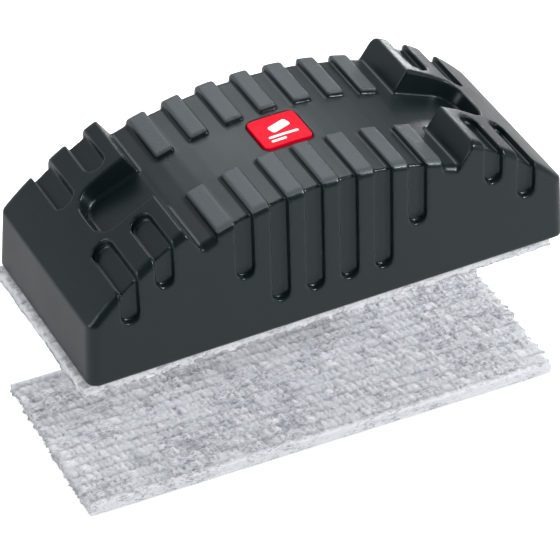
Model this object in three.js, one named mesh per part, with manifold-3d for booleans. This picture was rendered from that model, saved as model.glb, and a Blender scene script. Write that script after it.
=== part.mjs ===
// A dry-wipe board eraser: a moulded, arched grip with ribs, a fleece wiping pad held under it
// by hook tape, and a spare pad laid out beneath.
// Millimetres. +X runs along the eraser, +Z is up, and the spare pad lies on z = 0.
import * as THREE from "three";
import { mergeVertices } from "three/addons/utils/BufferGeometryUtils.js";
import Module from "manifold-3d";

const wasm = await Module();
wasm.setup();

// Driving sizes
const LENGTH = 150;
const WIDTH = 63.6;
const WALL_DRAFT = 0.053; // how far the walls lean in for each millimetre of height
const CORNER_RADIUS = 3.4;
const WALL = 2.2;
const GAP = 0.3; // running gap between pieces that touch

// In side view the top is made of arcs. Each has its radius and its centre's height, and heights
// in the holder count from its bottom edge.
const LOW_ARC = { radius: 113.6, centre: -71.4 };
const CAP_ARC = { radius: 100, centre: -48 };
const RIB_HEIGHT = 1.8;
const TOP_EDGE_RADIUS = 2.6;

const RIB_PITCH = 10.725;
const RIB_WIDTH = 5.2;
const RIBS_PER_SIDE = 7;
const CHANNEL_HALF_WIDTH = 9.4;
const GROOVE_DEPTH = 2;
const GROOVE_WIDTH = RIB_PITCH - RIB_WIDTH;

const HORN_X = 44.6;
const HORN_SLOPE = THREE.MathUtils.degToRad(56);

// Grooves in the side walls, by their distance from the middle in rib pitches
const WALL_GROOVES = [
  { pitches: 0.5, bottom: 9.3 },
  { pitches: 1.5, bottom: 9.3 },
  { pitches: 2.5, bottom: 20.5 },
];
const CAP_GROOVES = [
  { pitches: 4.75, bottom: 26.1, innerEnd: 12.6 },
  { pitches: 5.75, bottom: 17.8, innerEnd: 10.2 },
];

const SCOOP = { start: 42, lead: 8, floorEnd: 58, halfWidth: 9.3, cornerRadius: 6.5, flare: 1, depth: 16 };
const SCOOP_TILT = THREE.MathUtils.degToRad(22);

const BADGE = { x: -1.1, length: 14.8, width: 13.4, corner: 2, proud: 0.4, thickness: 1.4 };

const PLATE_THICKNESS = 3;
const SCREW = { x: 25, y: 18, shank: 1.45, head: 2.8, headDepth: 1.7, length: 14, bury: 0.4 };
const BOSS_RADIUS = 4;
const WEB_THICKNESS = 1.6;
const WEB_BOTTOM = 14;
const STRIP = { length: 34, width: 46, thickness: 1.2, pitch: 50 };

const PAD_THICKNESS = 5;
const SPARE_CLEARANCE = 41.7; // air between the two pads
const WIPING_PAD = { length: 147, width: 59, x: -2.5, y: 0, turn: 0 };
const SPARE_PAD = { length: 147, width: 59, x: 0, y: 0, turn: -2 };
const HOLDER_Z = PAD_THICKNESS + SPARE_CLEARANCE + PAD_THICKNESS + GAP;

const TALL = 70; // height of cutting prisms, well over the grip's own
const ARC_STEPS = 144;

// --- Materials ---

function plastic(name, color, roughness) {
  return new THREE.MeshStandardMaterial({ name, color, roughness, metalness: 0 });
}

const blackPlastic = () => plastic("black_plastic", 0x24282a, 0.42);
const redPlastic = () => plastic("red_plastic", 0xd40a26, 0.3);
const hookTape = () => plastic("hook_tape", 0x1b1b1d, 0.8);
const fleece = () => plastic("grey_fleece", 0xc8ccce, 0.95);
const steel = () =>
  new THREE.MeshStandardMaterial({ name: "zinc_steel", color: 0xb4b8bc, roughness: 0.35, metalness: 1 });

// --- Solids ---

function toSolid(geometry) {
  const bare = geometry.clone();
  bare.deleteAttribute("normal");
  bare.deleteAttribute("uv");
  const merged = mergeVertices(bare, 1e-4);
  return new wasm.Manifold(
    new wasm.Mesh({
      numProp: 3,
      vertProperties: new Float32Array(merged.attributes.position.array),
      triVerts: new Uint32Array(merged.index.array),
    })
  );
}

function toGeometry(solid) {
  const mesh = solid.getMesh();
  const geometry = new THREE.BufferGeometry();
  geometry.setAttribute("position", new THREE.BufferAttribute(mesh.vertProperties, 3));
  geometry.setIndex(new THREE.BufferAttribute(mesh.triVerts, 1));
  geometry.computeVertexNormals();
  return geometry;
}

function union(solids) {
  return solids.reduce((whole, solid) => whole.add(solid));
}

function roundedRectangle(length, width, radius) {
  const x = length / 2;
  const y = width / 2;
  const shape = new THREE.Shape();
  shape.moveTo(-x + radius, -y);
  shape.lineTo(x - radius, -y);
  shape.absarc(x - radius, -y + radius, radius, -Math.PI / 2, 0);
  shape.lineTo(x, y - radius);
  shape.absarc(x - radius, y - radius, radius, 0, Math.PI / 2);
  shape.lineTo(-x + radius, y);
  shape.absarc(-x + radius, y - radius, radius, Math.PI / 2, Math.PI);
  shape.lineTo(-x, -y + radius);
  shape.absarc(-x + radius, -y + radius, radius, Math.PI, Math.PI * 1.5);
  return shape;
}

function prism(shape, bottom, top) {
  const options = { depth: top - bottom, bevelEnabled: false, curveSegments: 8 };
  return new THREE.ExtrudeGeometry(shape, options).translate(0, 0, bottom);
}

function box(centre, size) {
  return toSolid(new THREE.BoxGeometry(...size).translate(...centre));
}

function rod(radius, x, y, bottom, top) {
  const height = top - bottom;
  const geometry = new THREE.CylinderGeometry(radius, radius, height, 32).rotateX(Math.PI / 2);
  return toSolid(geometry.translate(x, y, bottom + height / 2));
}

// Leans every vertex in towards the middle as it rises, as a mould's draft does.
function drafted(geometry, { alongX = true } = {}) {
  const position = geometry.attributes.position;
  for (let i = 0; i < position.count; i += 1) {
    const lean = WALL_DRAFT * position.getZ(i);
    if (alongX) position.setX(i, position.getX(i) - Math.sign(position.getX(i)) * lean);
    position.setY(i, position.getY(i) - Math.sign(position.getY(i)) * lean);
  }
  return geometry;
}

// A block with the grip's outline, set in from its faces by inset.
function wallBlock(inset, bottom, top) {
  const radius = Math.max(CORNER_RADIUS - inset, 1);
  const outline = roundedRectangle(LENGTH - 2 * inset, WIDTH - 2 * inset, radius);
  return toSolid(drafted(prism(outline, bottom, top)));
}

// A drum that stands grow proud of an arc, with its rims rounded and its ends drafted.
function arch(arc, grow, halfWidth = WIDTH / 2) {
  const radius = arc.radius + grow;
  const edge = TOP_EDGE_RADIUS;
  const profile = new THREE.Path();
  profile.moveTo(0, -halfWidth);
  profile.lineTo(radius - edge, -halfWidth);
  profile.absarc(radius - edge, -halfWidth + edge, edge, -Math.PI / 2, 0);
  profile.lineTo(radius, halfWidth - edge);
  profile.absarc(radius - edge, halfWidth - edge, edge, 0, Math.PI / 2);
  profile.lineTo(0, halfWidth);
  const drum = new THREE.LatheGeometry(profile.getPoints(5), ARC_STEPS);
  return toSolid(drafted(drum.translate(0, 0, arc.centre), { alongX: false }));
}

function sideProfile(points) {
  const outline = new THREE.Shape(points.map(([x, z]) => new THREE.Vector2(x, z)));
  const slab = new THREE.ExtrudeGeometry(outline, { depth: WIDTH, bevelEnabled: false });
  return toSolid(slab.rotateX(Math.PI / 2).translate(0, WIDTH / 2, 0));
}

function heightOnArc(arc, x) {
  return arc.centre + Math.sqrt(arc.radius ** 2 - x ** 2);
}

function bothEnds(solid) {
  return solid.add(solid.rotate([0, 0, 180]));
}

function bothSides(solid) {
  return solid.add(solid.mirror([0, 1, 0]));
}

// --- Grip shell ---

// Everything outside one horn's sloping face, moved out by back.
function endRegion(back) {
  const topHeight = heightOnArc(CAP_ARC, HORN_X);
  const faceX = (z) => HORN_X + back - (topHeight - z) / Math.tan(HORN_SLOPE);
  return sideProfile([
    [faceX(0), 0],
    [LENGTH, 0],
    [LENGTH, TALL],
    [faceX(TALL), TALL],
  ]);
}

function ribs() {
  const reach = WIDTH / 2 - CHANNEL_HALF_WIDTH;
  const middle = CHANNEL_HALF_WIDTH + reach / 2;
  const bars = [];
  for (let i = 0; i < RIBS_PER_SIDE; i += 1) {
    const x = (i - (RIBS_PER_SIDE - 1) / 2) * RIB_PITCH;
    bars.push(box([x, middle, TALL / 2], [RIB_WIDTH, reach, TALL]));
  }
  return bothSides(union(bars)).intersect(arch(LOW_ARC, RIB_HEIGHT));
}

// A slot in the wall's outer face, open at the top and round at the bottom.
function wallSlot(x, bottom) {
  const radius = GROOVE_WIDTH / 2;
  const outline = new THREE.Shape();
  outline.moveTo(x - radius, TALL);
  outline.lineTo(x - radius, bottom + radius);
  outline.absarc(x, bottom + radius, radius, Math.PI, Math.PI * 2);
  outline.lineTo(x + radius, TALL);
  const slab = new THREE.ExtrudeGeometry(outline, { depth: 10, bevelEnabled: false, curveSegments: 10 });
  slab.rotateX(Math.PI / 2).translate(0, WIDTH / 2 - GROOVE_DEPTH + 10, 0);
  return toSolid(drafted(slab, { alongX: false }));
}

// A groove over a cap's top, running out through the edge from a round inner end.
function capSlot(x, innerEnd) {
  const radius = GROOVE_WIDTH / 2;
  const outline = new THREE.Shape();
  outline.moveTo(x + radius, WIDTH);
  outline.lineTo(x - radius, WIDTH);
  outline.lineTo(x - radius, innerEnd + radius);
  outline.absarc(x, innerEnd + radius, radius, Math.PI, Math.PI * 2);
  return toSolid(prism(outline, 0, TALL)).subtract(arch(CAP_ARC, -GROOVE_DEPTH, WIDTH));
}

function grooves() {
  const slots = WALL_GROOVES.map(({ pitches, bottom }) => wallSlot(pitches * RIB_PITCH, bottom));
  for (const { pitches, bottom, innerEnd } of CAP_GROOVES) {
    const x = pitches * RIB_PITCH;
    slots.push(wallSlot(x, bottom), capSlot(x, innerEnd));
  }
  return bothEnds(bothSides(union(slots)));
}

// A thumb scoop: the channel carried on through the horn into a cap, with a U-shaped end that
// flares as it rises. Its floor leaves the channel's arc along the tangent at start.
function scoop() {
  const { start, lead, floorEnd, halfWidth, cornerRadius, flare, depth } = SCOOP;
  const length = (floorEnd - start) / Math.cos(SCOOP_TILT);
  const outline = new THREE.Shape();
  outline.moveTo(-lead, -halfWidth);
  outline.lineTo(length - cornerRadius, -halfWidth);
  outline.absarc(length - cornerRadius, -halfWidth + cornerRadius, cornerRadius, -Math.PI / 2, 0);
  outline.lineTo(length, halfWidth - cornerRadius);
  outline.absarc(length - cornerRadius, halfWidth - cornerRadius, cornerRadius, 0, Math.PI / 2);
  outline.lineTo(-lead, halfWidth);
  const cutter = prism(outline, 0, depth);
  const position = cutter.attributes.position;
  const flareHeight = 4.5;
  for (let i = 0; i < position.count; i += 1) {
    const along = Math.max(position.getX(i) / length, 0);
    const spread = (position.getZ(i) / flareHeight) * flare * along;
    position.setX(i, position.getX(i) + spread);
    position.setY(i, position.getY(i) * (1 + (0.3 * spread) / halfWidth));
  }
  cutter.rotateY(SCOOP_TILT).translate(start, 0, heightOnArc(LOW_ARC, start));
  return toSolid(cutter);
}

function badgeBlank(grow) {
  const { x, length, width, corner } = BADGE;
  const outline = roundedRectangle(length + 2 * grow, width + 2 * grow, corner + grow);
  return toSolid(prism(outline, 0, TALL).translate(x, 0, 0));
}

function bosses() {
  const boss = rod(BOSS_RADIUS, SCREW.x, SCREW.y, PLATE_THICKNESS + GAP, TALL);
  const web = box([SCREW.x, 0, (WEB_BOTTOM + TALL) / 2], [WEB_THICKNESS, WIDTH, TALL - WEB_BOTTOM]);
  return bothEnds(bothSides(boss).add(web));
}

// The room inside the shell, with taller pockets under the caps.
function hollow() {
  const inset = WALL + GROOVE_DEPTH;
  const behindHorn = endRegion(WALL / Math.sin(HORN_SLOPE));
  const capRoom = arch(CAP_ARC, -GROOVE_DEPTH - WALL, WIDTH).intersect(behindHorn);
  const scoopEnd = SCOOP.floorEnd + 3 * WALL;
  const scoopHalf = SCOOP.halfWidth + SCOOP.flare + WALL;
  const scoopWall = box([scoopEnd / 2, 0, TALL / 2], [scoopEnd, 2 * scoopHalf, TALL]);
  const room = arch(LOW_ARC, -WALL, WIDTH).add(bothEnds(capRoom.subtract(scoopWall)));
  return room.intersect(wallBlock(inset, -1, TALL)).subtract(bosses());
}

function gripShell() {
  const top = union([
    arch(LOW_ARC, 0),
    bothEnds(arch(CAP_ARC, 0).intersect(endRegion(0))),
    ribs(),
  ]);
  const badgeRecess = badgeBlank(GAP).subtract(arch(LOW_ARC, BADGE.proud - BADGE.thickness - GAP, WIDTH));
  const pilot = rod(SCREW.shank + GAP, SCREW.x, SCREW.y, 0, SCREW.length + GAP);
  return top
    .intersect(wallBlock(0, 0, TALL))
    .subtract(grooves())
    .subtract(bothEnds(scoop()))
    .subtract(badgeRecess)
    .subtract(hollow())
    .subtract(wallBlock(WALL, -1, PLATE_THICKNESS + GAP))
    .subtract(bothEnds(bothSides(pilot)));
}

function badge() {
  const outer = arch(LOW_ARC, BADGE.proud, WIDTH);
  const inner = arch(LOW_ARC, BADGE.proud - BADGE.thickness, WIDTH);
  return badgeBlank(0).intersect(outer).subtract(inner);
}

// --- Base ---

function stripCentres() {
  return [-STRIP.pitch, 0, STRIP.pitch];
}

function basePlate() {
  const inset = WALL + GAP;
  let plate = wallBlock(inset, 0, PLATE_THICKNESS);
  for (const x of stripCentres()) {
    const recess = roundedRectangle(STRIP.length + 2 * GAP, STRIP.width + 2 * GAP, 2 + GAP);
    plate = plate.subtract(toSolid(prism(recess, -1, STRIP.thickness + GAP).translate(x, 0, 0)));
  }
  const seat = screwShape(GAP, -1).translate([SCREW.x, SCREW.y, 0]);
  return plate.subtract(bothEnds(bothSides(seat)));
}

function hookStrip() {
  const outline = roundedRectangle(STRIP.length, STRIP.width, 2);
  return toSolid(prism(outline, 0, STRIP.thickness));
}

// A countersunk screw pointing up, grown by clearance, with its head starting at bottom.
function screwShape(clearance, bottom) {
  const shank = SCREW.shank + clearance;
  const head = SCREW.head + clearance;
  const profile = [
    [0, bottom],
    [head, bottom],
    [head, SCREW.bury],
    [shank, SCREW.bury + SCREW.headDepth],
    [shank, SCREW.length - 1.5],
    [0, SCREW.length],
  ].map(([radius, height]) => new THREE.Vector2(radius, height));
  return toSolid(new THREE.LatheGeometry(profile, 32).rotateX(Math.PI / 2));
}

function screw() {
  const arm = [2 * SCREW.head * 0.6, 0.8, 2];
  const cross = box([0, 0, 0.3], arm).add(box([0, 0, 0.3], [arm[1], arm[0], arm[2]]));
  return screwShape(0, SCREW.bury / 2).subtract(cross);
}

// --- Pads ---

function pad({ length, width }) {
  return toSolid(prism(roundedRectangle(length, width, 1.5), 0, PAD_THICKNESS));
}

// --- The whole eraser ---

const eraser = new THREE.Group();

function place(name, solid, material, x = 0, y = 0, z = HOLDER_Z) {
  const mesh = new THREE.Mesh(toGeometry(solid), material);
  mesh.name = name;
  mesh.position.set(x, y, z);
  eraser.add(mesh);
  return mesh;
}

place("grip_shell", gripShell(), blackPlastic());
place("badge", badge(), redPlastic());
place("base_plate", basePlate(), blackPlastic());

["left", "middle", "right"].forEach((side, i) => {
  place(`hook_strip_${side}`, hookStrip(), hookTape(), stripCentres()[i]);
});

const SCREW_PLACES = [
  ["front_left", -1, -1],
  ["front_right", 1, -1],
  ["back_left", -1, 1],
  ["back_right", 1, 1],
];
for (const [corner, sideX, sideY] of SCREW_PLACES) {
  place(`base_screw_${corner}`, screw(), steel(), sideX * SCREW.x, sideY * SCREW.y);
}

const wipingZ = HOLDER_Z - GAP - PAD_THICKNESS;
const wipingPad = place("wiping_pad", pad(WIPING_PAD), fleece(), WIPING_PAD.x, WIPING_PAD.y, wipingZ);
wipingPad.rotation.z = THREE.MathUtils.degToRad(WIPING_PAD.turn);

const sparePad = place("spare_pad", pad(SPARE_PAD), fleece(), SPARE_PAD.x, SPARE_PAD.y, 0);
sparePad.rotation.z = THREE.MathUtils.degToRad(SPARE_PAD.turn);

export default eraser;
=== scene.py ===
# %% [markdown]
# # A dry-wipe board eraser
#
# The eraser has three things worth modelling well: a grip moulded in black plastic, a small red badge
# let into its crown, and two pads of looped fleece. One pad is held under the grip and the other
# lies below as the spare. This file dresses the measured frame in those finishes, one piece at a time.

import math
import random

import bmesh
import bpy
from mathutils import Matrix, Vector, noise
from mathutils.bvhtree import BVHTree


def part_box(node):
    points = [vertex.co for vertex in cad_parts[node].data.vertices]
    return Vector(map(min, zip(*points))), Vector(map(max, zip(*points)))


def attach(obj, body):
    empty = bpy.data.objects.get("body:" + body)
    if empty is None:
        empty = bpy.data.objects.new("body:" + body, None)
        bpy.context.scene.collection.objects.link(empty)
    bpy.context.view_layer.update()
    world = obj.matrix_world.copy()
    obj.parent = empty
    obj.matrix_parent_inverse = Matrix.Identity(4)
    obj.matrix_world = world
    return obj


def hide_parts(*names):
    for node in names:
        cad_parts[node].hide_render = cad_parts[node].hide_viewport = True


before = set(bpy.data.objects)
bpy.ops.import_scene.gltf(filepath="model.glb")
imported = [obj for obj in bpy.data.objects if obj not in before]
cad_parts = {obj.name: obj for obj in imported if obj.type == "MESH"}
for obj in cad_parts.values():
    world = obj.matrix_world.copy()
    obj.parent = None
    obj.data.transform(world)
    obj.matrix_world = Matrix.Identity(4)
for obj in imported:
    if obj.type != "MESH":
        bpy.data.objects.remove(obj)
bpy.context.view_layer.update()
MM = 0.001

# %% [markdown]
# ## The camera
#
# A long lens keeps the eraser's edges nearly parallel. The camera looks down on it from the front
# left, a little above the crown, so the end wall, the front wall and the whole top are in view.

# %% Place the camera
AIM = Vector((-0.0079, -0.0136, 0.0527))
AZIMUTH, ELEVATION, DISTANCE = math.radians(-27.03), math.radians(39.08), 0.9613

camera_data = bpy.data.cameras.new("Long lens")
camera_data.lens = 218.8
camera_data.sensor_width = 36
camera_data.clip_start, camera_data.clip_end = 0.01, 20
camera = bpy.data.objects.new("Camera", camera_data)
back = Vector((
    math.sin(AZIMUTH) * math.cos(ELEVATION),
    -math.cos(AZIMUTH) * math.cos(ELEVATION),
    math.sin(ELEVATION),
))
camera.location = AIM + back * DISTANCE
camera.rotation_euler = (math.pi / 2 - ELEVATION, 0, AZIMUTH)
scene = bpy.context.scene
scene.collection.objects.link(camera)
scene.camera = camera
print("camera at", [round(c, 3) for c in camera.location])

# %% [markdown]
# ## Floor and light
#
# A studio table of matt white card, a bright even sky, and four soft panels. Satin black
# plastic shows mostly what it reflects, so the panels draw the shape: one overhead and behind lifts
# the crown, one on the left lifts the end wall, one in front lights the rounded ends of the ribs and
# fills the fleece, and a narrow one on the right draws the bright lines along the grooves' rims.
# A photographer darkens the rest of the room with black flags, mostly in front. Here the sky and the
# table are simply dimmer in reflections than to the eye. The card is lit from beneath as well, which
# keeps the shadows on it faint.

# %% Hang the panels
scene.view_settings.view_transform = "Standard"
scene.view_settings.look = "None"


def soft_panel(name, place, aim, width, height, power):
    """A rectangular area light that faces a point."""
    data = bpy.data.lights.new(name, "AREA")
    data.shape = "RECTANGLE"
    data.size, data.size_y, data.energy = width, height, power
    panel = bpy.data.objects.new(name, data)
    panel.location = place
    panel.rotation_euler = (Vector(aim) - Vector(place)).to_track_quat("-Z", "Y").to_euler()
    scene.collection.objects.link(panel)


soft_panel("Overhead panel", (0.26, 0.6, 0.8), (0, 0, 0.05), 0.7, 0.5, 2.5)
soft_panel("Left panel", (-0.8, 0.1, 0.34), (-0.05, 0, 0.06), 0.3, 0.3, 1.4)
soft_panel("Front panel", (0.6, -0.5, 0.6), (0, 0, 0.03), 0.12, 0.12, 5.5)
soft_panel("Right strip", (0.7, 0.7, 0.1), (0, 0, 0.06), 0.06, 0.1, 0.5)

# %% Build the sky
SKY_SEEN = 1.1
SKY_IN_REFLECTIONS = (("From Min", -0.1), ("From Max", 0.55), ("To Min", 0.03), ("To Max", 0.52))


def seen_and_mirrored(tree, seen, mirrored, socket):
    """Feeds a socket one grey level, and another in whatever mirrors it. That one may be a socket."""
    path = tree.nodes.new("ShaderNodeLightPath")
    level = tree.nodes.new("ShaderNodeMix")
    level.inputs[2].default_value = seen
    if isinstance(mirrored, bpy.types.NodeSocket):
        tree.links.new(mirrored, level.inputs[3])
    else:
        level.inputs[3].default_value = mirrored
    tree.links.new(path.outputs["Is Glossy Ray"], level.inputs[0])
    tree.links.new(level.outputs[0], socket)


world = bpy.data.worlds.new("Even sky")
world.use_nodes = True
sky = world.node_tree.nodes["Background"]
sky.inputs["Color"].default_value = (1, 1, 1, 1)
direction = world.node_tree.nodes.new("ShaderNodeTexCoord")
split = world.node_tree.nodes.new("ShaderNodeSeparateXYZ")
front_to_back = world.node_tree.nodes.new("ShaderNodeMapRange")
for socket, value in SKY_IN_REFLECTIONS:
    front_to_back.inputs[socket].default_value = value
world.node_tree.links.new(direction.outputs["Generated"], split.inputs[0])
world.node_tree.links.new(split.outputs["Y"], front_to_back.inputs["Value"])
seen_and_mirrored(world.node_tree, SKY_SEEN, front_to_back.outputs["Result"], sky.inputs["Strength"])
scene.world = world

# %% Build the table
CARD_SEEN, CARD_IN_REFLECTIONS, CARD_GLOW = 0.92, 0.5, 0.4
TABLE_SIZE = 6
TABLE_DROP = 0.2 * MM

floor_mesh = bpy.data.meshes.new("Table top")
bm = bmesh.new()
bmesh.ops.create_grid(bm, x_segments=1, y_segments=1, size=TABLE_SIZE)
bmesh.ops.translate(bm, verts=bm.verts, vec=(0, 0, -TABLE_DROP))
bm.to_mesh(floor_mesh)
bm.free()
floor = bpy.data.objects.new("Table top", floor_mesh)
scene.collection.objects.link(floor)

card = bpy.data.materials.new("White card")
card.use_nodes = True
card_shader = card.node_tree.nodes["Principled BSDF"]
card_shader.inputs["Roughness"].default_value = 1
card_shader.inputs["Specular IOR Level"].default_value = 0
seen_and_mirrored(card.node_tree, CARD_SEEN, CARD_IN_REFLECTIONS, card_shader.inputs["Base Color"])
card_shader.inputs["Emission Color"].default_value = (1, 1, 1, 1)
glow = card.node_tree.nodes.new("ShaderNodeMath")
glow.operation = "MULTIPLY"
glow.inputs[1].default_value = CARD_GLOW
path = card.node_tree.nodes.new("ShaderNodeLightPath")
card.node_tree.links.new(path.outputs["Is Camera Ray"], glow.inputs[0])
card.node_tree.links.new(glow.outputs[0], card_shader.inputs["Emission Strength"])
floor_mesh.materials.append(card)

# %% [markdown]
# ## Helpers for materials
#
# Every finish below is a handful of nodes on object coordinates. These helpers keep each material
# short: they make an empty material, place a node with its values, spread a value over a ramp, mix
# two colours, do a sum, and raise a bump.

# %% Define the material helpers


def new_material(name):
    """A material with its Principled shader, and the tree to wire it in."""
    material = bpy.data.materials.new(name)
    material.use_nodes = True
    tree = material.node_tree
    return material, tree, tree.nodes["Principled BSDF"]


def add_node(tree, kind, values=None, **settings):
    """A node of one kind, with its settings and its input values."""
    node = tree.nodes.new(kind)
    for key, value in settings.items():
        setattr(node, key, value)
    for key, value in (values or {}).items():
        node.inputs[key].default_value = value
    return node


def ramp(tree, source, stops):
    """A colour ramp fed by a socket. Each stop is a position and a grey level or a colour."""
    node = tree.nodes.new("ShaderNodeValToRGB")
    elements = node.color_ramp.elements
    while len(elements) < len(stops):
        elements.new(0.5)
    for element, (position, level) in zip(elements, stops):
        element.position = position
        element.color = (level, level, level, 1) if isinstance(level, (int, float)) else (*level, 1)
    tree.links.new(source, node.inputs["Fac"])
    return node.outputs["Color"]


def mix(tree, factor, low, high):
    """A colour mix. Each of its inputs is a socket or a constant."""
    node = add_node(tree, "ShaderNodeMix", data_type="RGBA")
    for index, value in ((0, factor), (6, low), (7, high)):
        if isinstance(value, bpy.types.NodeSocket):
            tree.links.new(value, node.inputs[index])
        else:
            node.inputs[index].default_value = value if index == 0 else (*value, 1)
    return node.outputs[2]


def math_node(tree, operation, *values):
    """A math node. Each of its inputs is a socket or a number."""
    node = tree.nodes.new("ShaderNodeMath")
    node.operation = operation
    for socket, value in zip(node.inputs, values):
        if isinstance(value, bpy.types.NodeSocket):
            tree.links.new(value, socket)
        else:
            socket.default_value = value
    return node.outputs[0]


def bump(tree, height, distance, strength, shader):
    """Raises the shading normal by a height socket."""
    node = add_node(tree, "ShaderNodeBump", {"Distance": distance, "Strength": strength})
    tree.links.new(height, node.inputs["Height"])
    tree.links.new(node.outputs["Normal"], shader.inputs["Normal"])


# %% [markdown]
# ## Moulded grain
#
# The mould's steel was spark-eroded, which leaves a very fine pebble on every outer face. It could be
# modelled, but a pebble of a fifth of a millimetre only matters for how the light spreads, so a
# bump is right. The grip, the base plate and the badge share it, each with its own size and depth,
# so it is one node group.

# %% Build the grain group
grain_group = bpy.data.node_groups.new("Moulded grain", "ShaderNodeTree")
grain_group.interface.new_socket("Scale", in_out="INPUT", socket_type="NodeSocketFloat")
grain_group.interface.new_socket("Height", in_out="OUTPUT", socket_type="NodeSocketFloat")
grain_group.interface.new_socket("Patch", in_out="OUTPUT", socket_type="NodeSocketFloat")
group_in = grain_group.nodes.new("NodeGroupInput")
group_out = grain_group.nodes.new("NodeGroupOutput")
coords = add_node(grain_group, "ShaderNodeTexCoord")
pebble = add_node(grain_group, "ShaderNodeTexVoronoi", feature="SMOOTH_F1")
fine = add_node(grain_group, "ShaderNodeTexNoise", {"Detail": 3.0, "Roughness": 0.6})
patch = add_node(grain_group, "ShaderNodeTexNoise", {"Scale": 60.0, "Detail": 4.0})
join = add_node(grain_group, "ShaderNodeMath", operation="ADD")
for texture in (pebble, fine, patch):
    grain_group.links.new(coords.outputs["Object"], texture.inputs["Vector"])
for texture in (pebble, fine):
    grain_group.links.new(group_in.outputs["Scale"], texture.inputs["Scale"])
grain_group.links.new(pebble.outputs["Distance"], join.inputs[0])
grain_group.links.new(fine.outputs["Fac"], join.inputs[1])
grain_group.links.new(join.outputs[0], group_out.inputs["Height"])
grain_group.links.new(patch.outputs["Fac"], group_out.inputs["Patch"])
print("grain group:", len(grain_group.nodes), "nodes")

# %% [markdown]
# ## Satin black plastic
#
# The grip is charcoal rather than pure black, and satin rather than glossy. Handling polishes the
# proud edges a touch, so the mesh's pointiness makes them smoother and slightly lighter, and broad
# soft patches vary the gloss the way a real moulding's flow does.

# %% Make the black plastics


def shades(color, *factors):
    """Darker and lighter versions of a colour."""
    return [tuple(min(1.0, factor * c) for c in color) for factor in factors]


def black_plastic(name, color, roughness, grain_depth):
    """Grained charcoal plastic with edges polished by handling."""
    material, tree, shader = new_material(name)
    grain = add_node(tree, "ShaderNodeGroup", node_tree=grain_group)
    grain.inputs["Scale"].default_value = 2600.0
    geometry = add_node(tree, "ShaderNodeNewGeometry")
    edge = ramp(tree, geometry.outputs["Pointiness"], [(0.51, 0.0), (0.6, 1.0)])
    dark, light, worn = shades(color, 0.8, 1.2, 1.9)
    patchy = mix(tree, grain.outputs["Patch"], dark, light)
    tree.links.new(mix(tree, edge, patchy, worn), shader.inputs["Base Color"])
    gloss = ramp(tree, grain.outputs["Patch"], [(0.3, roughness - 0.04), (0.7, roughness + 0.04)])
    polished = (roughness - 0.04,) * 3
    tree.links.new(mix(tree, edge, gloss, polished), shader.inputs["Roughness"])
    bump(tree, grain.outputs["Height"], 0.00006, grain_depth, shader)
    shader.inputs["Specular Tint"].default_value = (0.84, 0.94, 1, 1)
    return material


grip_black = black_plastic("Grip plastic", (0.0035, 0.0075, 0.0085), 0.31, 0.2)
base_black = black_plastic("Base plastic", (0.014, 0.015, 0.016), 0.5, 0.4)
print("plastics:", grip_black.name, "and", base_black.name)

# %% [markdown]
# ## Matt rib tops
#
# The tops of the ribs keep the mould's coarser sparking, so that fingers hold them. They look paler
# and grainier than the smooth channel between them. Their paler grey is partly that coarser finish
# and partly painted sheen, standing in for the light that the rough grain scatters. The rib tops are
# the only faces that stand more than a millimetre over the crown's arc between the two horns, so a
# mask measures each point's distance from the arc's axis and picks them out.

# %% Mask the rib tops
ARC_AXIS_HEIGHT = -19.4 * MM
ARC_RADIUS = 113.6 * MM
RIB_REACH = 36.5 * MM
# Painted sheen: this grey is partly the rib tops' coarser finish and partly the light their grain scatters.
RIB_TOP_GREY_AND_SHEEN = (0.05, 0.058, 0.064)
RIB_ROUGHNESS = 0.42

tree = grip_black.node_tree
shader = tree.nodes["Principled BSDF"]
place = add_node(tree, "ShaderNodeSeparateXYZ")
tree.links.new(add_node(tree, "ShaderNodeTexCoord").outputs["Object"], place.inputs[0])
height = math_node(tree, "SUBTRACT", place.outputs["Z"], ARC_AXIS_HEIGHT)
height_squared = math_node(tree, "POWER", height, 2.0)
length_squared = math_node(tree, "POWER", place.outputs["X"], 2.0)
from_axis = math_node(tree, "SQRT", math_node(tree, "ADD", height_squared, length_squared))
over_arc = math_node(tree, "SUBTRACT", from_axis, ARC_RADIUS)
proud = math_node(tree, "MULTIPLY", over_arc, 1 / MM)
between_horns = math_node(tree, "LESS_THAN", math_node(tree, "ABSOLUTE", place.outputs["X"]), RIB_REACH)
rib_top = math_node(tree, "MULTIPLY", ramp(tree, proud, [(0.9, 0.0), (1.0, 1.0)]), between_horns)

# %% Wire the rib tops into the plastic
color_in = shader.inputs["Base Color"].links[0].from_socket
# The rib tops take the paler grey, which is partly painted sheen.
tree.links.new(mix(tree, rib_top, color_in, RIB_TOP_GREY_AND_SHEEN), shader.inputs["Base Color"])
roughness_in = shader.inputs["Roughness"].links[0].from_socket
tree.links.new(mix(tree, rib_top, roughness_in, (RIB_ROUGHNESS,) * 3), shader.inputs["Roughness"])
grain_bump = shader.inputs["Normal"].links[0].from_node
tree.links.new(ramp(tree, rib_top, [(0.0, 0.2), (1.0, 1.0)]), grain_bump.inputs["Strength"])

# %% [markdown]
# ## The grip
#
# A moulding has no sharp edges: the ribs, the grooves and the rims of the thumb scoops all turn
# over on a small radius, and those radii catch the light. Bevelling a shape with this many meeting
# curves by hand is slow and tangles in the corners. Instead a merged copy of the frame's shell is
# rebuilt on a fine voxel grid and relaxed, which rolls every edge over by the same small radius.
# The hidden inside is then thinned out. Thinning leaves a few points off the surface, and each of
# those is put back on the nearest spot of the fine one. The outside is not thinned, so the grip
# keeps about 383,000 triangles, far above the target that the thinning is given.

# %% Define the voxel skin


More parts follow.
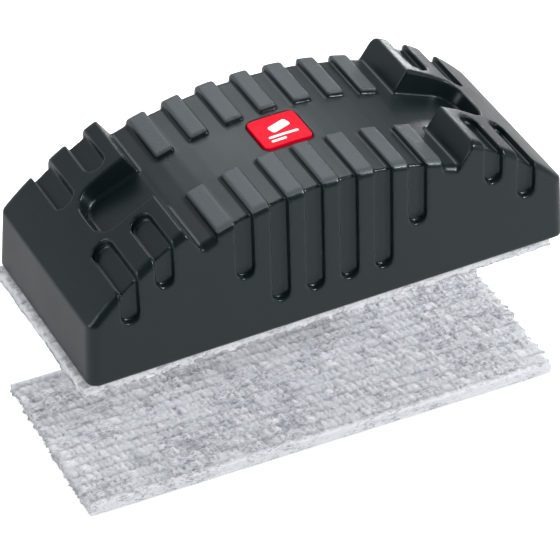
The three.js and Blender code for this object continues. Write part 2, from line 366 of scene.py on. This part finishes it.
def link_mesh(name, mesh, body, materials):
    """An object for a finished mesh, riding on a body, under the given name."""
    piece = bpy.data.objects.new(name, mesh)
    scene.collection.objects.link(piece)
    mesh.materials.clear()
    for material in materials:
        mesh.materials.append(material)
    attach(piece, body)
    return piece


def settle(piece):
    """Bakes a piece's modifiers into its mesh."""
    depsgraph = bpy.context.evaluated_depsgraph_get()
    baked = bpy.data.meshes.new_from_object(piece.evaluated_get(depsgraph))
    piece.modifiers.clear()
    piece.data = baked


def merged_copy(node):
    """A new mesh from a frame node, with its loose triangles joined."""
    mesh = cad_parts[node].data.copy()
    bm = bmesh.new()
    bm.from_mesh(mesh)
    bmesh.ops.remove_doubles(bm, verts=bm.verts, dist=0.002 * MM)
    bm.to_mesh(mesh)
    bm.free()
    return mesh


def shade_smooth(mesh):
    mesh.polygons.foreach_set("use_smooth", [True] * len(mesh.polygons))
    mesh.update()


# %% Rebuild the shell on a fine grid
shell_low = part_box("grip_shell")[0]
VOXEL = 0.455
THINNING_TARGET = 176000  # Triangles; the kept outside stops the thinning long before this
STRAY_DISTANCE = 0.12 * MM

shell = link_mesh("grip", merged_copy("grip_shell"), "holder", [grip_black])
skin = shell.modifiers.new("Fine grid", "REMESH")
skin.mode = "VOXEL"
skin.voxel_size = VOXEL * MM
relax = shell.modifiers.new("Roll the edges over", "SMOOTH")
relax.factor, relax.iterations = 0.5, 5
settle(shell)
print("shell on its fine grid:", len(shell.data.polygons), "faces")

# %% Pick out the hidden inside
SIDE_WALL_Y, SIDE_WALL_END_X, END_WALL_X = 24 * MM, 71 * MM, 66 * MM


def is_hidden(v):
    """Whether a point of the shell is on a ceiling, or on the inside of a side wall or an end wall."""
    on_ceiling = v.normal.z < -0.4 and v.co.z > shell_low.z + 1 * MM
    faces_in_y = v.normal.y * v.co.y < 0 and abs(v.normal.y) > 0.5
    faces_in_x = v.normal.x * v.co.x < 0 and abs(v.normal.x) > 0.5
    in_side_wall = faces_in_y and abs(v.co.y) > SIDE_WALL_Y and abs(v.co.x) < SIDE_WALL_END_X
    in_end_wall = faces_in_x and abs(v.co.x) > END_WALL_X
    return on_ceiling or in_side_wall or in_end_wall


hidden = [v.index for v in shell.data.vertices if is_hidden(v)]
print("hidden points:", len(hidden))

# %% Thin it out
fine_points = [v.co.copy() for v in shell.data.vertices]
fine_surface = BVHTree.FromPolygons(fine_points, [tuple(p.vertices) for p in shell.data.polygons])
inside = shell.vertex_groups.new(name="Inside")
inside.add(hidden, 1.0, "REPLACE")
thin = shell.modifiers.new("Thin the inside", "DECIMATE")
fine_triangles = len(shell.data.polygons) * 2
thin.ratio = min(1.0, THINNING_TARGET / fine_triangles)
thin.vertex_group = "Inside"
thin.vertex_group_factor = 5
settle(shell)

# %% Put the strays back
strays = 0
for v in shell.data.vertices:
    spot, _, _, distance = fine_surface.find_nearest(v.co)
    if distance > STRAY_DISTANCE:
        v.co = spot
        strays += 1
shell.vertex_groups.clear()
shell.data.materials.clear()
shell.data.materials.append(grip_black)
shade_smooth(shell.data)
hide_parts("grip_shell")
shell_triangles = sum(len(p.vertices) - 2 for p in shell.data.polygons)
print("shell:", len(shell.data.polygons), "faces,", shell_triangles, "triangles,", strays, "strays put back")

# %% [markdown]
# ## Fleece
#
# The pads are stitch-bonded fleece: a thick web of grey fibre whose stitching pulls it into rows
# along the pad, each row a chain of soft loops. The loops are big enough to throw shadows, so they
# belong in the mesh. A box is cut into half-millimetre cells, and every point is raised by a height
# that follows the rows and loops, with a different rhythm in each row and seeded unevenness. The
# same height is kept on the points as "loop", so the material keeps the fleece's pale colour on the
# crests of the loops and is darkened with painted shade to grey between them. Dark fibres in the web gather
# in soft clouds.

# %% Start the fleece and its textures
fleece, tree, shader = new_material("Looped fleece")
shader.inputs["Sheen Weight"].default_value = 0.25
shader.inputs["Sheen Roughness"].default_value = 0.5
shader.inputs["Roughness"].default_value = 0.95
shader.inputs["Specular IOR Level"].default_value = 0.2
coords = add_node(tree, "ShaderNodeTexCoord")
stretch = add_node(tree, "ShaderNodeMapping", {"Scale": (0.7, 1.0, 1.0)})
tree.links.new(coords.outputs["Object"], stretch.inputs["Vector"])
fleck = add_node(tree, "ShaderNodeTexNoise", {"Scale": 520.0, "Detail": 6.0, "Roughness": 0.75})
cloud = add_node(tree, "ShaderNodeTexNoise", {"Scale": 110.0, "Detail": 3.0, "Roughness": 0.6})
fuzz = add_node(tree, "ShaderNodeTexNoise", {"Scale": 2400.0, "Detail": 3.0, "Roughness": 0.8})
for texture in (fleck, cloud, fuzz):
    tree.links.new(stretch.outputs["Vector"], texture.inputs["Vector"])

# %% Colour the loops and flecks
# Painted shade: the fleece's own pale colour sits on the crests and darkens to grey on the flanks and
# between the loops.
SHADED_BETWEEN_LOOPS, HALF_SHADED_FLANKS, ON_CRESTS = (0.27, 0.285, 0.315), (0.57, 0.59, 0.625), (0.80, 0.815, 0.85)
FLECK = (0.52, 0.53, 0.56)
DARK_FIBRE = (0.24, 0.25, 0.28)

depth = add_node(tree, "ShaderNodeAttribute", attribute_name="loop")
loop_shade = ramp(tree, depth.outputs["Fac"], [(0.0, SHADED_BETWEEN_LOOPS), (0.4, HALF_SHADED_FLANKS), (1.0, ON_CRESTS)])
clouded_flecks = math_node(tree, "MULTIPLY_ADD", cloud.outputs["Fac"], 0.4, fleck.outputs["Fac"])
flecked = mix(tree, ramp(tree, clouded_flecks, [(0.52, 1.0), (0.66, 0.0)]), (1, 1, 1), FLECK)
tint = add_node(tree, "ShaderNodeMix", {0: 1.0}, data_type="RGBA", blend_type="MULTIPLY")
tree.links.new(loop_shade, tint.inputs[6])
tree.links.new(flecked, tint.inputs[7])

# %% Lay dark fibres through it
tangle = add_node(tree, "ShaderNodeMapping", {"Rotation": (0.0, 0.0, 0.6), "Scale": (0.35, 1.2, 1.0)})
thread = add_node(tree, "ShaderNodeTexNoise", {"Scale": 1300.0, "Detail": 3.0, "Roughness": 0.6})
thread.inputs["Distortion"].default_value = 1.5
tree.links.new(coords.outputs["Object"], tangle.inputs["Vector"])
tree.links.new(tangle.outputs["Vector"], thread.inputs["Vector"])
thin_dark = ramp(tree, thread.outputs["Fac"], [(0.38, 0.95), (0.48, 0.0)])
gathered = ramp(tree, cloud.outputs["Fac"], [(0.42, 1.0), (0.58, 0.25)])
dark_thread = math_node(tree, "MULTIPLY", thin_dark, gathered)
tree.links.new(mix(tree, dark_thread, tint.outputs[2], DARK_FIBRE), shader.inputs["Base Color"])
height = math_node(tree, "ADD", thread.outputs["Fac"], fuzz.outputs["Fac"])
bump(tree, height, 0.0006, 0.9, shader)
print("fleece nodes:", len(tree.nodes))

# %% Define how fleece stands up in loops
ROW_PITCH = 3.9
LOOP_PITCH = 1.95


def loop_height(x, y, seed):
    """How far the loops stand up at a place on the pad, from 0 between loops to 1 on a crest."""
    wander = 0.16 * noise.noise(Vector((x / 16, y / 9, seed)))
    wander += 0.1 * noise.noise(Vector((x / 3, y / 3, seed)))
    row_place = y / ROW_PITCH + wander
    row = math.floor(row_place)
    across = 1 - abs(2 * (row_place - row) - 1) ** 3.2
    rhythm = noise.noise(Vector((x / 5, row * 3.7, seed + 5.3)))
    lean = 0.5 * (row_place - row - 0.5)
    beat = x / LOOP_PITCH + 0.37 * row + 1.3 * rhythm + lean
    loop = math.floor(beat)
    along = abs(math.sin(math.pi * beat)) ** 0.7
    size = 0.8 + 0.75 * noise.noise(Vector((loop * 1.7, row * 2.3, seed + 2.2)))
    matted = max(0.0, noise.noise(Vector((x / 5, y / 4, seed + 7.7)))) * 1.2
    fibre = noise.noise(Vector((x / 0.9, y / 1.2, seed + 9.1)))
    loops = (0.3 + 0.7 * across) * (0.35 + 0.65 * along) * size
    return max(0.0, min(1.0, loops * (1 - matted) + 0.6 * matted + 0.3 * fibre))


# %% [markdown]
# ## Loose fibres
#
# Fleece is never clean at its edges: cut fibres stick out of the sides and lie across the loops. A
# hair system would vanish from an exported mesh, so each fibre is a very thin three-sided cone that is
# bent a little. One fibre is made, then copied to seeded places round the edge and over the face.

# %% Define one fibre


def one_fibre():
    """A bent, tapering fibre a millimetre long that starts at the origin, in a mesh of its own."""
    bm = bmesh.new()
    bmesh.ops.create_cone(bm, cap_ends=True, segments=3, radius1=0.05, radius2=0.025, depth=1)
    upright = [e for e in bm.edges if abs(e.verts[0].co.z - e.verts[1].co.z) > 0.9]
    bmesh.ops.subdivide_edges(bm, edges=upright, cuts=3)
    for v in bm.verts:
        v.co.x += 0.45 * (v.co.z + 0.5) ** 2
        v.co.z += 0.5
    return bm


def just_points(geometry):
    return [g for g in geometry if isinstance(g, bmesh.types.BMVert)]


# %% Scatter the fibres


def loose_fibres(length, width, thickness, seed, on_face, on_edge, face_side):
    """A mesh of bent fibres. Some stick out of the pad's edge, and some lie on one face of it."""
    pick = random.Random(seed)
    bm = one_fibre()
    first = [*bm.verts, *bm.edges, *bm.faces]
    for i in range(on_face + on_edge):
        copy = bmesh.ops.duplicate(bm, geom=first)["geom"]
        if i < on_edge:
            along, across = pick.uniform(-0.5, 0.5), pick.choice((-0.5, 0.5))
            if pick.random() < 0.45:
                place, out = (across * length * 0.996, along * width), (math.copysign(1, across), 0)
            else:
                place, out = (along * length, across * width * 0.99), (0, math.copysign(1, across))
            base = Vector((*place, pick.uniform(-0.4, 0.35) * thickness))
            lean = (out[0] + pick.uniform(-0.9, 0.9), out[1] + pick.uniform(-0.9, 0.9))
            aim = Vector((*lean, pick.uniform(-0.5, 0.4)))
        else:
            base = Vector((pick.uniform(-0.49, 0.49) * length, pick.uniform(-0.49, 0.49) * width, 0))
            base.z = face_side * (thickness / 2 - 0.35)
            aim = Vector((pick.uniform(-1, 1), pick.uniform(-1, 1), face_side * pick.uniform(0.05, 0.3)))
        turn = aim.to_track_quat("Z", "X").to_matrix().to_4x4()
        roll = Matrix.Rotation(pick.uniform(0, 6.28), 4, "Z")
        stretch = Matrix.Scale(pick.uniform(0.7, 1.6), 4, (0, 0, 1))
        matrix = Matrix.Translation(base) @ turn @ roll @ stretch
        bmesh.ops.transform(bm, matrix=matrix, verts=just_points(copy))
    bmesh.ops.delete(bm, geom=just_points(first), context="VERTS")
    for v in bm.verts:
        v.co.z = max(v.co.z, 0.05 - thickness / 2)
    mesh = bpy.data.meshes.new("Fibres")
    bm.to_mesh(mesh)
    bm.free()
    return mesh


# %% [markdown]
# ## The two pads
#
# Both pads are cut from the same roll to the same size. The long sides follow the rows, so they are
# straight, and on the spare pad, where they show, they stay plain. The short ends cut across the
# rows and come out scalloped, a tuft for each row. The fitted pad is pressed flat by the holder, so
# its top is nearly smooth and its loops and loose fibres face down. The slab is shaped in one pass over
# its points, because each shift depends on where the point was on the flat box.

# %% Cut a slab
PAD_LENGTH, PAD_WIDTH = 147.0, 59.0
SIDE_BAND = 1.8
SIDE_STEP = 0.7


def fleece_slab(thickness):
    """A box in millimetres, cut into small cells all over."""
    cell = 0.45
    bm = bmesh.new()
    bmesh.ops.create_cube(bm, size=1)
    bmesh.ops.scale(bm, vec=(PAD_LENGTH, PAD_WIDTH, thickness), verts=bm.verts)
    for axis, size, step in ((0, PAD_LENGTH, cell), (1, PAD_WIDTH, cell), (2, thickness, SIDE_STEP)):
        along = [e for e in bm.edges if abs((e.verts[0].co - e.verts[1].co)[axis]) > 0.9 * size]
        bmesh.ops.subdivide_edges(bm, edges=along, cuts=round(size / step) - 1, use_grid_fill=True)
    return bm


# %% Define how a slab's ends and sides are cut


def ragged_end(y, z, seed):
    """How far a short end stands out at a place. The gaps between the rows fall back."""
    ragged = 0.5 * noise.noise(Vector((y / 1.6, z / 1.5, seed + 3)))
    ragged += 1.3 * noise.noise(Vector((y / 8, z / 9, seed + 4)))
    return ragged - 1.1 * abs(2 * ((y / ROW_PITCH) % 1) - 1) ** 3


def plainness(y):
    """How little of the loops is left near a long side, from 0 to 1."""
    return max(0.0, min(1.0, (abs(y) - (PAD_WIDTH / 2 - 2.6)) / 2.2)) ** 2


# %% Shape a slab


def shape_slab(bm, thickness, seed, loops_up, edge_up, ragged_by, plain_sides):
    """Raises the slab's faces into loops, rounds their edges over, and roughens the cut sides."""
    loops = bm.verts.layers.float.new("loop")
    end_starts, side_starts = PAD_LENGTH / 2 - SIDE_BAND, PAD_WIDTH / 2 - SIDE_BAND
    for v in bm.verts:
        x, y, z = v.co
        side = max(abs(x) - end_starts, abs(y) - side_starts, 0) / SIDE_BAND
        face = abs(z) / (thickness / 2)
        rise = loop_height(x, y, seed + (20 if z < 0 else 0))
        if plain_sides:
            rise += (0.85 - rise) * plainness(y)
        # The cut sides get a middling value, so they take part of the painted shade.
        v[loops] = rise * face**3 + (0.42 + 0.2 * rise) * (1 - face**3)
        drop = (loops_up if z > 0 else 1.2) * (1 - rise) * face**3
        round_over = (edge_up if z > 0 else 1.0) * side**3 * face**2
        v.co.z = z - math.copysign(drop + round_over, z)
        if abs(x) > end_starts:
            v.co.x += math.copysign(side * (ragged_by * ragged_end(y, z, seed) - 0.4 * face**3), x)
        if abs(y) > side_starts:
            wave = 0.1 * noise.noise(Vector((x / 1.5, z / 1.2, seed + 8)))
            v.co.y += math.copysign(side * (wave - 0.15 * face**3), y)
    bmesh.ops.recalc_face_normals(bm, faces=bm.faces)
    return loops


# %% Build the pads
FIBRES_ON_FACE, FIBRES_ON_EDGE = 500, 420


def fleece_pad(name, node, body, seed, turn, loops_up, edge_up, ragged_by, top_shows):
    """A pad in the node's place.

    loops_up is how high the loops stand on its top, edge_up how far its top edge rounds over, and
    ragged_by how unevenly its ends are cut.
    """
    low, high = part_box(node)
    thickness = (high.z - low.z) / MM
    bm = fleece_slab(thickness)
    loops = shape_slab(bm, thickness, seed, loops_up, edge_up, ragged_by, plain_sides=top_shows)
    slab_points = len(bm.verts)
    fibres = loose_fibres(
        PAD_LENGTH, PAD_WIDTH, thickness, seed, FIBRES_ON_FACE, FIBRES_ON_EDGE, 1 if top_shows else -1
    )
    bm.from_mesh(fibres)
    bm.verts.ensure_lookup_table()
    for v in bm.verts[slab_points:]:
        v[loops] = 0.9
    centre = Matrix.Translation((low + high) / 2)
    place = centre @ Matrix.Rotation(math.radians(turn), 4, "Z") @ Matrix.Scale(MM, 4)
    bmesh.ops.transform(bm, matrix=place, verts=bm.verts)
    mesh = bpy.data.meshes.new(name)
    bm.to_mesh(mesh)
    bm.free()
    shade_smooth(mesh)
    pad = link_mesh(name, mesh, body, [fleece])
    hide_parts(node)
    print(name, len(mesh.polygons), "faces")


fleece_pad(
    "fitted_fleece", "wiping_pad", "fitted_pad",
    seed=2.0, turn=0, loops_up=0.25, edge_up=0.2, ragged_by=0.35, top_shows=False,
)
fleece_pad(
    "spare_fleece", "spare_pad", "spare",
    seed=31.0, turn=-2, loops_up=1.2, edge_up=0.6, ragged_by=1.0, top_shows=True,
)

# %% [markdown]
# ## The badge
#
# The badge is a small plate of satin red plastic with softly rounded corners, curved to sit on the
# crown. It starts as a box: its four upright corners are bevelled, its rim is rolled a little, and
# it is cut into narrow bands so that it can be bent along the crown's arc.

# %% Make the red plastic
badge_red, tree, shader = new_material("Badge plastic")
grain = add_node(tree, "ShaderNodeGroup", node_tree=grain_group)
grain.inputs["Scale"].default_value = 1500.0
tree.links.new(
    mix(tree, grain.outputs["Patch"], (0.60, 0.0, 0.012), (0.68, 0.001, 0.020)),
    shader.inputs["Base Color"],
)
shader.inputs["Specular IOR Level"].default_value = 0.08
tree.links.new(ramp(tree, grain.outputs["Patch"], [(0.3, 0.28), (0.7, 0.36)]), shader.inputs["Roughness"])
bump(tree, grain.outputs["Height"], 0.00003, 0.06, shader)

mark_white, tree, shader = new_material("White print")
grain = add_node(tree, "ShaderNodeGroup", node_tree=grain_group)
grain.inputs["Scale"].default_value = 4000.0
tree.links.new(
    mix(tree, grain.outputs["Patch"], (0.86, 0.84, 0.84), (0.93, 0.92, 0.92)),
    shader.inputs["Base Color"],
)
shader.inputs["Roughness"].default_value = 0.4
bump(tree, grain.outputs["Height"], 0.00002, 0.1, shader)

# %% Build the badge plate
badge_low, badge_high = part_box("badge")
badge_centre = (badge_low + badge_high) / 2
CROWN_RADIUS = 114.0
BADGE_THICKNESS = 1.3
BADGE_CORNER, BADGE_RIM = 1.6, 0.18


def plate(size, corner, rim, bands):
    """A flat plate with round corners and a rolled top rim, cut into bands along its length."""
    bm = bmesh.new()
    bmesh.ops.create_cube(bm, size=1)
    bmesh.ops.scale(bm, vec=size, verts=bm.verts)
    uprights = [e for e in bm.edges if abs((e.verts[0].co - e.verts[1].co).z) > 0.9 * size[2]]
    bmesh.ops.bevel(
        bm, geom=uprights, offset=corner, offset_type="OFFSET", segments=8, profile=0.5,
        affect="EDGES", material=-1,
    )
    top = max((f for f in bm.faces if f.normal.z > 0.9), key=lambda f: f.calc_area())
    if rim:
        bmesh.ops.bevel(
            bm, geom=list(top.edges), offset=rim, offset_type="OFFSET", segments=4, profile=0.5,
            affect="EDGES", material=-1,
        )
    for i in range(1, bands):
        cut = (i / bands - 0.5) * size[0]
        bmesh.ops.bisect_plane(
            bm, geom=[*bm.verts, *bm.edges, *bm.faces], dist=1e-5, plane_co=(cut, 0, 0), plane_no=(1, 0, 0)
        )
    return bm


def onto_crown(bm, turn, x, y, lift):
    """Turns a flat shape in its own plane, then lays it on the crown's arc at a height over it."""
    bmesh.ops.rotate(bm, verts=bm.verts, cent=(0, 0, 0), matrix=Matrix.Rotation(math.radians(turn), 3, "Z"))
    bmesh.ops.translate(bm, verts=bm.verts, vec=(x, y, lift))
    for v in bm.verts:
        across = badge_centre.x / MM + v.co.x
        fall = CROWN_RADIUS - math.sqrt(CROWN_RADIUS**2 - across**2)
        v.co.z -= fall
    crown = badge_high.z / MM
    move = Matrix.Scale(MM, 4) @ Matrix.Translation((badge_centre.x / MM, badge_centre.y / MM, crown))
    bmesh.ops.transform(bm, matrix=move, verts=bm.verts)
    mesh = bpy.data.meshes.new("Crown piece")
    bm.to_mesh(mesh)
    bm.free()
    shade_smooth(mesh)
    mesh.set_sharp_from_angle(angle=math.radians(40))
    return mesh


badge_size = ((badge_high - badge_low) / MM).xy
badge_plate = plate((badge_size.x, badge_size.y, BADGE_THICKNESS), BADGE_CORNER, BADGE_RIM, 14)
badge_mesh = onto_crown(badge_plate, 0, 0, 0, -BADGE_THICKNESS / 2)
badge = link_mesh("red_badge", badge_mesh, "holder", [badge_red])
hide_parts("badge")
print("badge:", len(badge.data.polygons), "faces")

# %% [markdown]
# ## The badge's mark
#
# A plain pictogram tells what the thing is for: an eraser block, and the stroke that it has wiped.
# Each part is a thin plate with round corners that stands a few hundredths of a millimetre proud,
# as thick ink does.

# %% Build the mark
# Size, corner radius, turn in degrees, and place on the badge
MARKS = {
    "mark_block": ((6.4, 3.0, 0.3), 0.7, 18, 0.4, 1.3),
    "mark_stroke": ((9.2, 0.9, 0.3), 0.43, 0, 0.0, -2.6),
    "mark_short_stroke": ((4.6, 0.9, 0.3), 0.43, 0, -2.3, -4.4),
}
for name, (size, corner, turn, x, y) in MARKS.items():
    mark = link_mesh(
        name, onto_crown(plate(size, corner, 0, 6), turn, x, y, -0.1), "holder", [mark_white]
    )
    print(name, len(mark.data.polygons), "faces")

# %% [markdown]
# ## The base and what holds the pad
#
# Under the pad, a flat plate closes the shell. It has the same black plastic with a coarser grain. Three
# patches of hook tape grip the fleece, and four zinc-plated screws hold the plate. The plate and the
# screws are plain mouldings and turned parts, so the frame's own solids carry their finishes. Hook
# tape is a woven strip covered in tiny nylon mushrooms, which only look right as real shapes: one is
# made from a cone and a flattened ball, copied into a row, and the row is copied over the strip.

# %% Make the hook tape
hook_tape, tree, shader = new_material("Hook tape")
coords = add_node(tree, "ShaderNodeTexCoord")
weave = add_node(tree, "ShaderNodeTexVoronoi", {"Scale": 1500.0, "Randomness": 0.3})
tree.links.new(coords.outputs["Object"], weave.inputs["Vector"])
weave_color = ramp(tree, weave.outputs["Distance"], [(0.1, 0.035), (0.6, 0.012)])
weave_gloss = ramp(tree, weave.outputs["Distance"], [(0.1, 0.45), (0.6, 0.7)])
tree.links.new(weave_color, shader.inputs["Base Color"])
tree.links.new(weave_gloss, shader.inputs["Roughness"])
bump(tree, weave.outputs["Distance"], 0.0001, 0.6, shader)

# %% Build the hook tape
HOOK_PITCH = 1.7
TAPE_THICKNESS, TAPE_CORNER = 0.6, 2.0


def hook_strip(node):
    """A strip of tape with rows of mushroom hooks pointing down, in the node's place."""
    low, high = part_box(node)
    centre = (low + high) / 2
    size = (high - low) / MM
    bm = bmesh.new()
    stem = Matrix.Translation((0, 0, -0.3))
    bmesh.ops.create_cone(bm, cap_ends=True, segments=6, radius1=0.2, radius2=0.14, depth=0.5, matrix=stem)
    cap = Matrix.Translation((0, 0, -0.45)) @ Matrix.Scale(0.5, 4, (0, 0, 1))
    bmesh.ops.create_icosphere(bm, subdivisions=1, radius=0.3, matrix=cap)
    for axis, reach in ((0, size.x), (1, size.y)):
        count = int((reach - 3) / HOOK_PITCH)
        first = [*bm.verts, *bm.edges, *bm.faces]
        for i in range(1, count + 1):
            copy = bmesh.ops.duplicate(bm, geom=first)["geom"]
            step = Vector([i * HOOK_PITCH if a == axis else 0 for a in range(3)])
            bmesh.ops.translate(bm, verts=just_points(copy), vec=step)
        back = Vector([-count * HOOK_PITCH / 2 if a == axis else 0 for a in range(3)])
        bmesh.ops.translate(bm, verts=bm.verts, vec=back)
    tape = plate((size.x, size.y, TAPE_THICKNESS), TAPE_CORNER, 0, 1)
    bmesh.ops.translate(tape, verts=tape.verts, vec=(0, 0, TAPE_THICKNESS / 2))
    tape_mesh = bpy.data.meshes.new("Tape")
    tape.to_mesh(tape_mesh)
    tape.free()
    bm.from_mesh(tape_mesh)
    underside = high.z - TAPE_THICKNESS * MM
    place = Matrix.Translation((centre.x, centre.y, underside)) @ Matrix.Scale(MM, 4)
    bmesh.ops.transform(bm, matrix=place, verts=bm.verts)
    mesh = bpy.data.meshes.new(node + "_tape")
    bm.to_mesh(mesh)
    bm.free()
    strip = link_mesh(node + "_tape", mesh, "holder", [hook_tape])
    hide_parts(node)
    print(strip.name, len(mesh.polygons), "faces")


for side in ("left", "middle", "right"):
    hook_strip("hook_strip_" + side)

# %% Make the zinc
DULL_ZINC, BRIGHT_ZINC = (0.50, 0.51, 0.54), (0.64, 0.65, 0.66)

zinc, tree, shader = new_material("Zinc-plated steel")
coords = add_node(tree, "ShaderNodeTexCoord")
brush = add_node(tree, "ShaderNodeTexNoise", {"Scale": 1200.0, "Detail": 4.0, "Roughness": 0.7})
tree.links.new(coords.outputs["Object"], brush.inputs["Vector"])
zinc_color = ramp(tree, brush.outputs["Fac"], [(0.3, DULL_ZINC), (0.7, BRIGHT_ZINC)])
tree.links.new(zinc_color, shader.inputs["Base Color"])
tree.links.new(ramp(tree, brush.outputs["Fac"], [(0.3, 0.25), (0.7, 0.42)]), shader.inputs["Roughness"])
shader.inputs["Metallic"].default_value = 1.0
bump(tree, brush.outputs["Fac"], 0.00003, 0.3, shader)

# %% Finish the base and screws
for node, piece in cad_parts.items():
    finish = None
    if node == "base_plate":
        finish = base_black
    elif node.startswith("base_screw"):
        finish = zinc
    if finish:
        piece.data.materials.clear()
        piece.data.materials.append(finish)
        print(node, "is finished in", finish.name)
